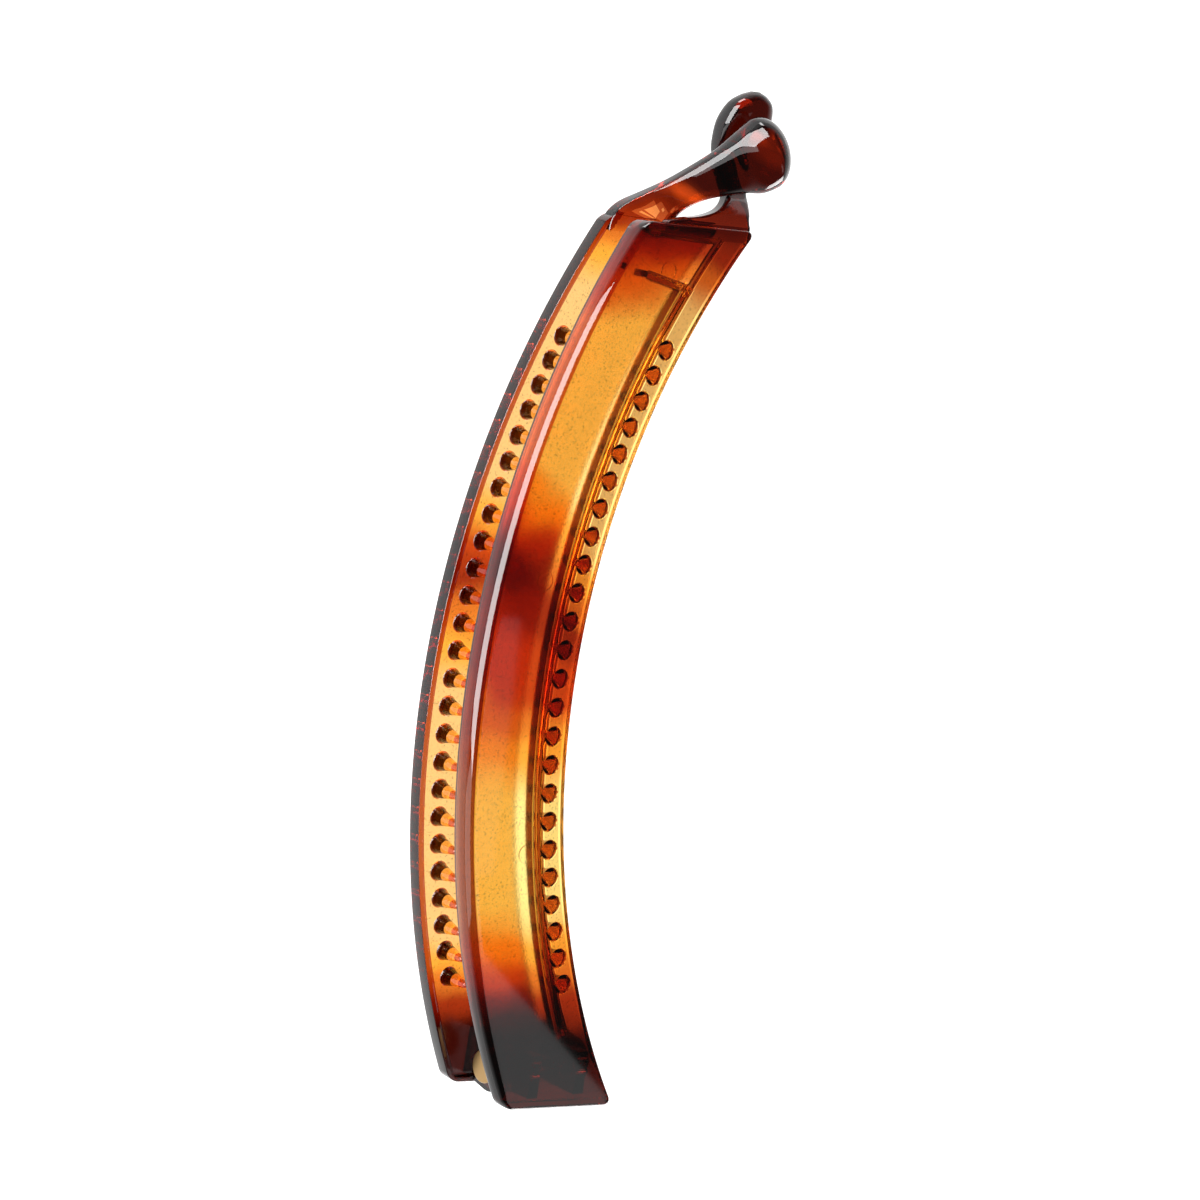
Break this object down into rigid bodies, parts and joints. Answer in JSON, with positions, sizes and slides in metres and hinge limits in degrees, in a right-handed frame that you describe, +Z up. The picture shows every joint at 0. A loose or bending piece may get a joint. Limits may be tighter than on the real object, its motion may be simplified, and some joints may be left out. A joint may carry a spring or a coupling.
{
  "type": "hair clip",
  "caption": "Curved hair clip with two long toothed arms hinged at one end, which close on the hair and hook together by two fingers.",
  "frame": {"origin": "middle of the closed clip's bounding box, on the surface that it lies on", "axes": "+X along the chord from the hinge to the clasp, +Y to the outer side of the curve, +Z up from the back arm to the front arm"},
  "size_m": [0.159, 0.046, 0.0163],
  "materials": {
    "tortoiseshell": "clear tortoiseshell plastic, polished",
    "gold_metal": "satin gold coloured metal"
  },
  "bodies": {
    "back": {"back_arm": "tortoiseshell", "hinge_pin": "gold_metal"},
    "front": {"front_arm": "tortoiseshell"}
  },
  "joints": [
    {"name": "arm_hinge", "type": "hinge", "parent": "back", "child": "front", "pos_m": [-0.07406, -0.00362, 0.00795], "axis": [0, -1, 0], "range_deg": [0, 95]}
  ]
}
